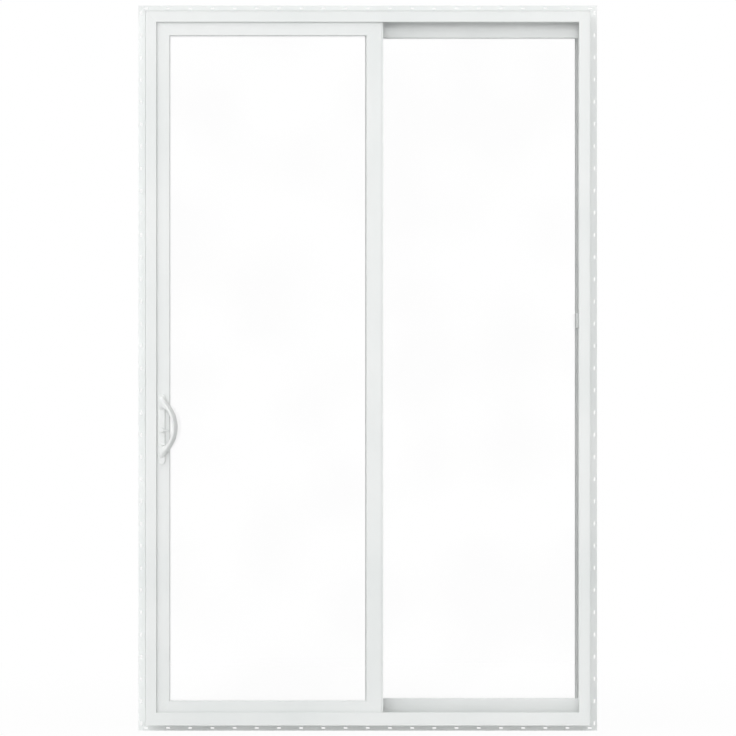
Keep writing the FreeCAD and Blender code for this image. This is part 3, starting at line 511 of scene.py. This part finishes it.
def makeThumbTurn():
    low, high = [Vector(corner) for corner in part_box("thumb_latch")]
    hubX = low.x + thumbSet["hubRadius"]
    level = (low.z + high.z) / 2
    depth = high.y - low.y
    deselectAll()
    bpy.ops.mesh.primitive_cylinder_add(
        vertices=48, radius=thumbSet["hubRadius"], depth=depth, location=(hubX, (low.y + high.y) / 2, level),
        rotation=(math.radians(90), 0, 0))
    hub = bpy.context.object
    bpy.ops.object.transform_apply(location=True, rotation=True, scale=True)
    bpy.ops.object.mode_set(mode="EDIT")
    selectParts(hub, "edges", lambda e: all(abs(v.co.y - low.y) < 1e-6 for v in e.verts))
    bpy.ops.mesh.bevel(offset=thumbSet["hubRound"], segments=4)
    bpy.ops.object.mode_set(mode="OBJECT")
    bladeDepth = depth - thumbSet["bladeLift"] + thumbSet["overlap"]
    deselectAll()
    bpy.ops.mesh.primitive_cube_add(
        size=1, location=((hubX + high.x) / 2, low.y + bladeDepth / 2, level),
        scale=(high.x - hubX, bladeDepth, thumbSet["rootHeight"]))
    blade = bpy.context.object
    bpy.ops.object.transform_apply(location=True, rotation=True, scale=True)
    bpy.ops.object.mode_set(mode="EDIT")
    selectParts(blade, "faces", lambda f: f.normal.x > 0.9)
    bpy.ops.transform.resize(value=(1, thumbSet["tipDepth"], thumbSet["tipHeight"] / thumbSet["rootHeight"]))
    selectParts(blade, "edges", lambda e: any(v.co.x > hubX + 0.001 for v in e.verts))
    bpy.ops.mesh.bevel(offset=thumbSet["bladeRound"], segments=3)
    bpy.ops.object.mode_set(mode="OBJECT")
    useModifier(hub, "BOOLEAN", operation="UNION", solver="EXACT", object=blade)
    bpy.data.objects.remove(blade)
    useModifier(
        hub, "BEVEL", width=thumbSet["seamRound"], segments=2, limit_method="ANGLE", angle_limit=math.radians(40))
    bpy.ops.object.shade_smooth_by_angle(angle=math.radians(35))
    finishPiece(hub, "thumbTurn", "latch", enamel, ["thumb_latch"])


makeThumbTurn()
print("thumb turn joined")


# Key cylinder: a chamfered collar round a plug with a keyway
cylinderSet = {
    "chamfer": 0.0008,
    "collar": 0.0018,
    "step": 0.0005, "plugRise": 0.0004,         # the groove's floor below the collar, and the plug's face above it
    "gap": 0.0003,
    "keyway": (0.0016, 0.0030, 0.0078),
}


def makeKeyCylinder():
    low, high = [Vector(corner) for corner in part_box("key_cylinder")]
    centre = (low + high) / 2
    deselectAll()
    bpy.ops.mesh.primitive_cylinder_add(
        vertices=64, radius=(high.x - low.x) / 2, depth=high.y - low.y, location=centre,
        rotation=(math.radians(90), 0, 0))
    collar = bpy.context.object
    bpy.ops.object.transform_apply(location=True, rotation=True, scale=True)
    bpy.ops.object.mode_set(mode="EDIT")
    selectParts(collar, "faces", lambda f: f.normal.y > 0.9)
    bpy.ops.mesh.bevel(offset=cylinderSet["chamfer"], segments=3)
    selectParts(collar, "faces", lambda f: f.normal.y > 0.999)
    bpy.ops.mesh.inset(thickness=cylinderSet["collar"])
    bpy.ops.mesh.extrude_region_move(TRANSFORM_OT_translate={"value": (0, -cylinderSet["step"], 0)})
    bpy.ops.mesh.inset(thickness=cylinderSet["gap"])
    bpy.ops.mesh.extrude_region_move(TRANSFORM_OT_translate={"value": (0, cylinderSet["plugRise"], 0)})
    bpy.ops.mesh.select_all(action="SELECT")
    bpy.ops.mesh.normals_make_consistent(inside=False)
    bpy.ops.object.mode_set(mode="OBJECT")
    deselectAll()
    bpy.ops.mesh.primitive_cube_add(size=1, location=(centre.x, high.y, centre.z), scale=cylinderSet["keyway"])
    keyway = bpy.context.object
    bpy.ops.object.transform_apply(location=True, rotation=True, scale=True)
    useModifier(collar, "BOOLEAN", operation="DIFFERENCE", solver="EXACT", object=keyway)
    bpy.data.objects.remove(keyway)
    selectOnly(collar)
    bpy.ops.object.shade_smooth_by_angle(angle=math.radians(30))
    finishPiece(collar, "keyCylinder", "sliding_panel", zincSteel, ["key_cylinder"])


makeKeyCylinder()
print("key cylinder turned")


# Screws: flat domed heads with a cross recess, two in each of the lock's plates
screwSet = {"radius": 0.0038, "rise": 0.0009, "dome": 0.0005, "cross": (0.0010, 0.0044), "fromEnd": 0.010}


def makeScrew(name, plate, end, side, body):
    # end, 1 or -1, is the plate's upper or lower end, and side the way along x that the head faces
    low, high = [Vector(corner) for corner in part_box(plate)]
    face = high.x if side > 0 else low.x
    level = (high.z if end > 0 else low.z) - end * screwSet["fromEnd"]
    centre = Vector((face + side * screwSet["rise"] / 2, (low.y + high.y) / 2, level))
    deselectAll()
    bpy.ops.mesh.primitive_cylinder_add(
        vertices=32, radius=screwSet["radius"], depth=screwSet["rise"], location=centre,
        rotation=(0, math.radians(90), 0))
    head = bpy.context.object
    bpy.ops.object.transform_apply(location=True, rotation=True, scale=True)
    bpy.ops.object.mode_set(mode="EDIT")
    selectParts(head, "faces", lambda f: f.normal.x * side > 0.9)
    bpy.ops.mesh.bevel(offset=screwSet["dome"], segments=3)
    bpy.ops.object.mode_set(mode="OBJECT")
    width, length = screwSet["cross"]
    for size in ((width, length), (length, width)):
        deselectAll()
        bpy.ops.mesh.primitive_cube_add(
            size=1, location=(face + side * screwSet["rise"], centre.y, level), scale=(screwSet["rise"], *size))
        cutter = bpy.context.object
        bpy.ops.object.transform_apply(location=True, rotation=True, scale=True)
        useModifier(head, "BOOLEAN", operation="DIFFERENCE", solver="EXACT", object=cutter)
        bpy.data.objects.remove(cutter)
    selectOnly(head)
    bpy.ops.object.shade_smooth_by_angle(angle=math.radians(30))
    finishPiece(head, name, body, zincSteel)


for end, word in ((1, "Upper"), (-1, "Lower")):
    makeScrew(f"keeper{word}Screw", "keeper", end, 1, "frame")
    makeScrew(f"faceplate{word}Screw", "lock_faceplate", end, -1, "sliding_panel")
print("screws set")


# Glass gaskets: a soft lip round each daylight opening, in the corner between the glass and what holds it
gasketSet = {
    "indoors": {"cover": 0.0147, "width": 0.0010, "height": 0.0008},
    "outdoors": {"cover": 0.0087, "width": 0.0020, "height": 0.0014},
    "rounding": 0.6,            # of the lip's height
}


def makeGasket(name, body, prefix, side):
    # cover is how far the beads' box reaches past the daylight opening on each side
    low, high = [Vector(corner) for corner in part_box(f"{prefix}_glazing_beads")]
    outdoors = side == "outdoors"
    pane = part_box(f"{prefix}_{'outer' if outdoors else 'inner'}_pane")
    face = pane[1][1] if outdoors else pane[0][1]
    lip = gasketSet[side]
    rise = lip["height"] * (1 if outdoors else -1)
    size = (high.x - low.x - 2 * lip["cover"], high.z - low.z - 2 * lip["cover"])
    centre = (low + high) / 2
    deselectAll()
    bpy.ops.mesh.primitive_plane_add(size=1, location=(centre.x, face, centre.z), rotation=(math.radians(90), 0, 0))
    strip = bpy.context.object
    strip.scale = (size[0], size[1], 1)
    bpy.ops.object.transform_apply(location=True, rotation=True, scale=True)
    bpy.ops.object.mode_set(mode="EDIT")
    bpy.ops.mesh.select_all(action="SELECT")
    bpy.ops.mesh.inset(thickness=lip["width"])
    bpy.ops.mesh.delete(type="FACE")
    bpy.ops.mesh.select_all(action="SELECT")
    bpy.ops.mesh.extrude_region_move(TRANSFORM_OT_translate={"value": (0, rise, 0)})
    edgeX = size[0] / 2 - lip["width"] + 1e-5
    edgeZ = size[1] / 2 - lip["width"] + 1e-5
    selectParts(strip, "edges", lambda e: all(
        abs(v.co.y - face - rise) < 1e-6 and abs(v.co.x - centre.x) < edgeX and abs(v.co.z - centre.z) < edgeZ
        for v in e.verts))
    bpy.ops.mesh.bevel(offset=lip["height"] * gasketSet["rounding"], segments=3)
    bpy.ops.mesh.select_all(action="SELECT")
    bpy.ops.mesh.normals_make_consistent(inside=False)
    bpy.ops.object.mode_set(mode="OBJECT")
    bpy.ops.object.shade_smooth_by_angle(angle=math.radians(35))
    finishPiece(strip, name, body, gasketVinyl)


makeGasket("slidingGasketIndoors", "sliding_panel", "panel", "indoors")
makeGasket("slidingGasketOutdoors", "sliding_panel", "panel", "outdoors")
makeGasket("fixedGasketIndoors", "frame", "fixed", "indoors")
makeGasket("fixedGasketOutdoors", "frame", "fixed", "outdoors")
print("gaskets laid")


bpy.context.view_layer.update()
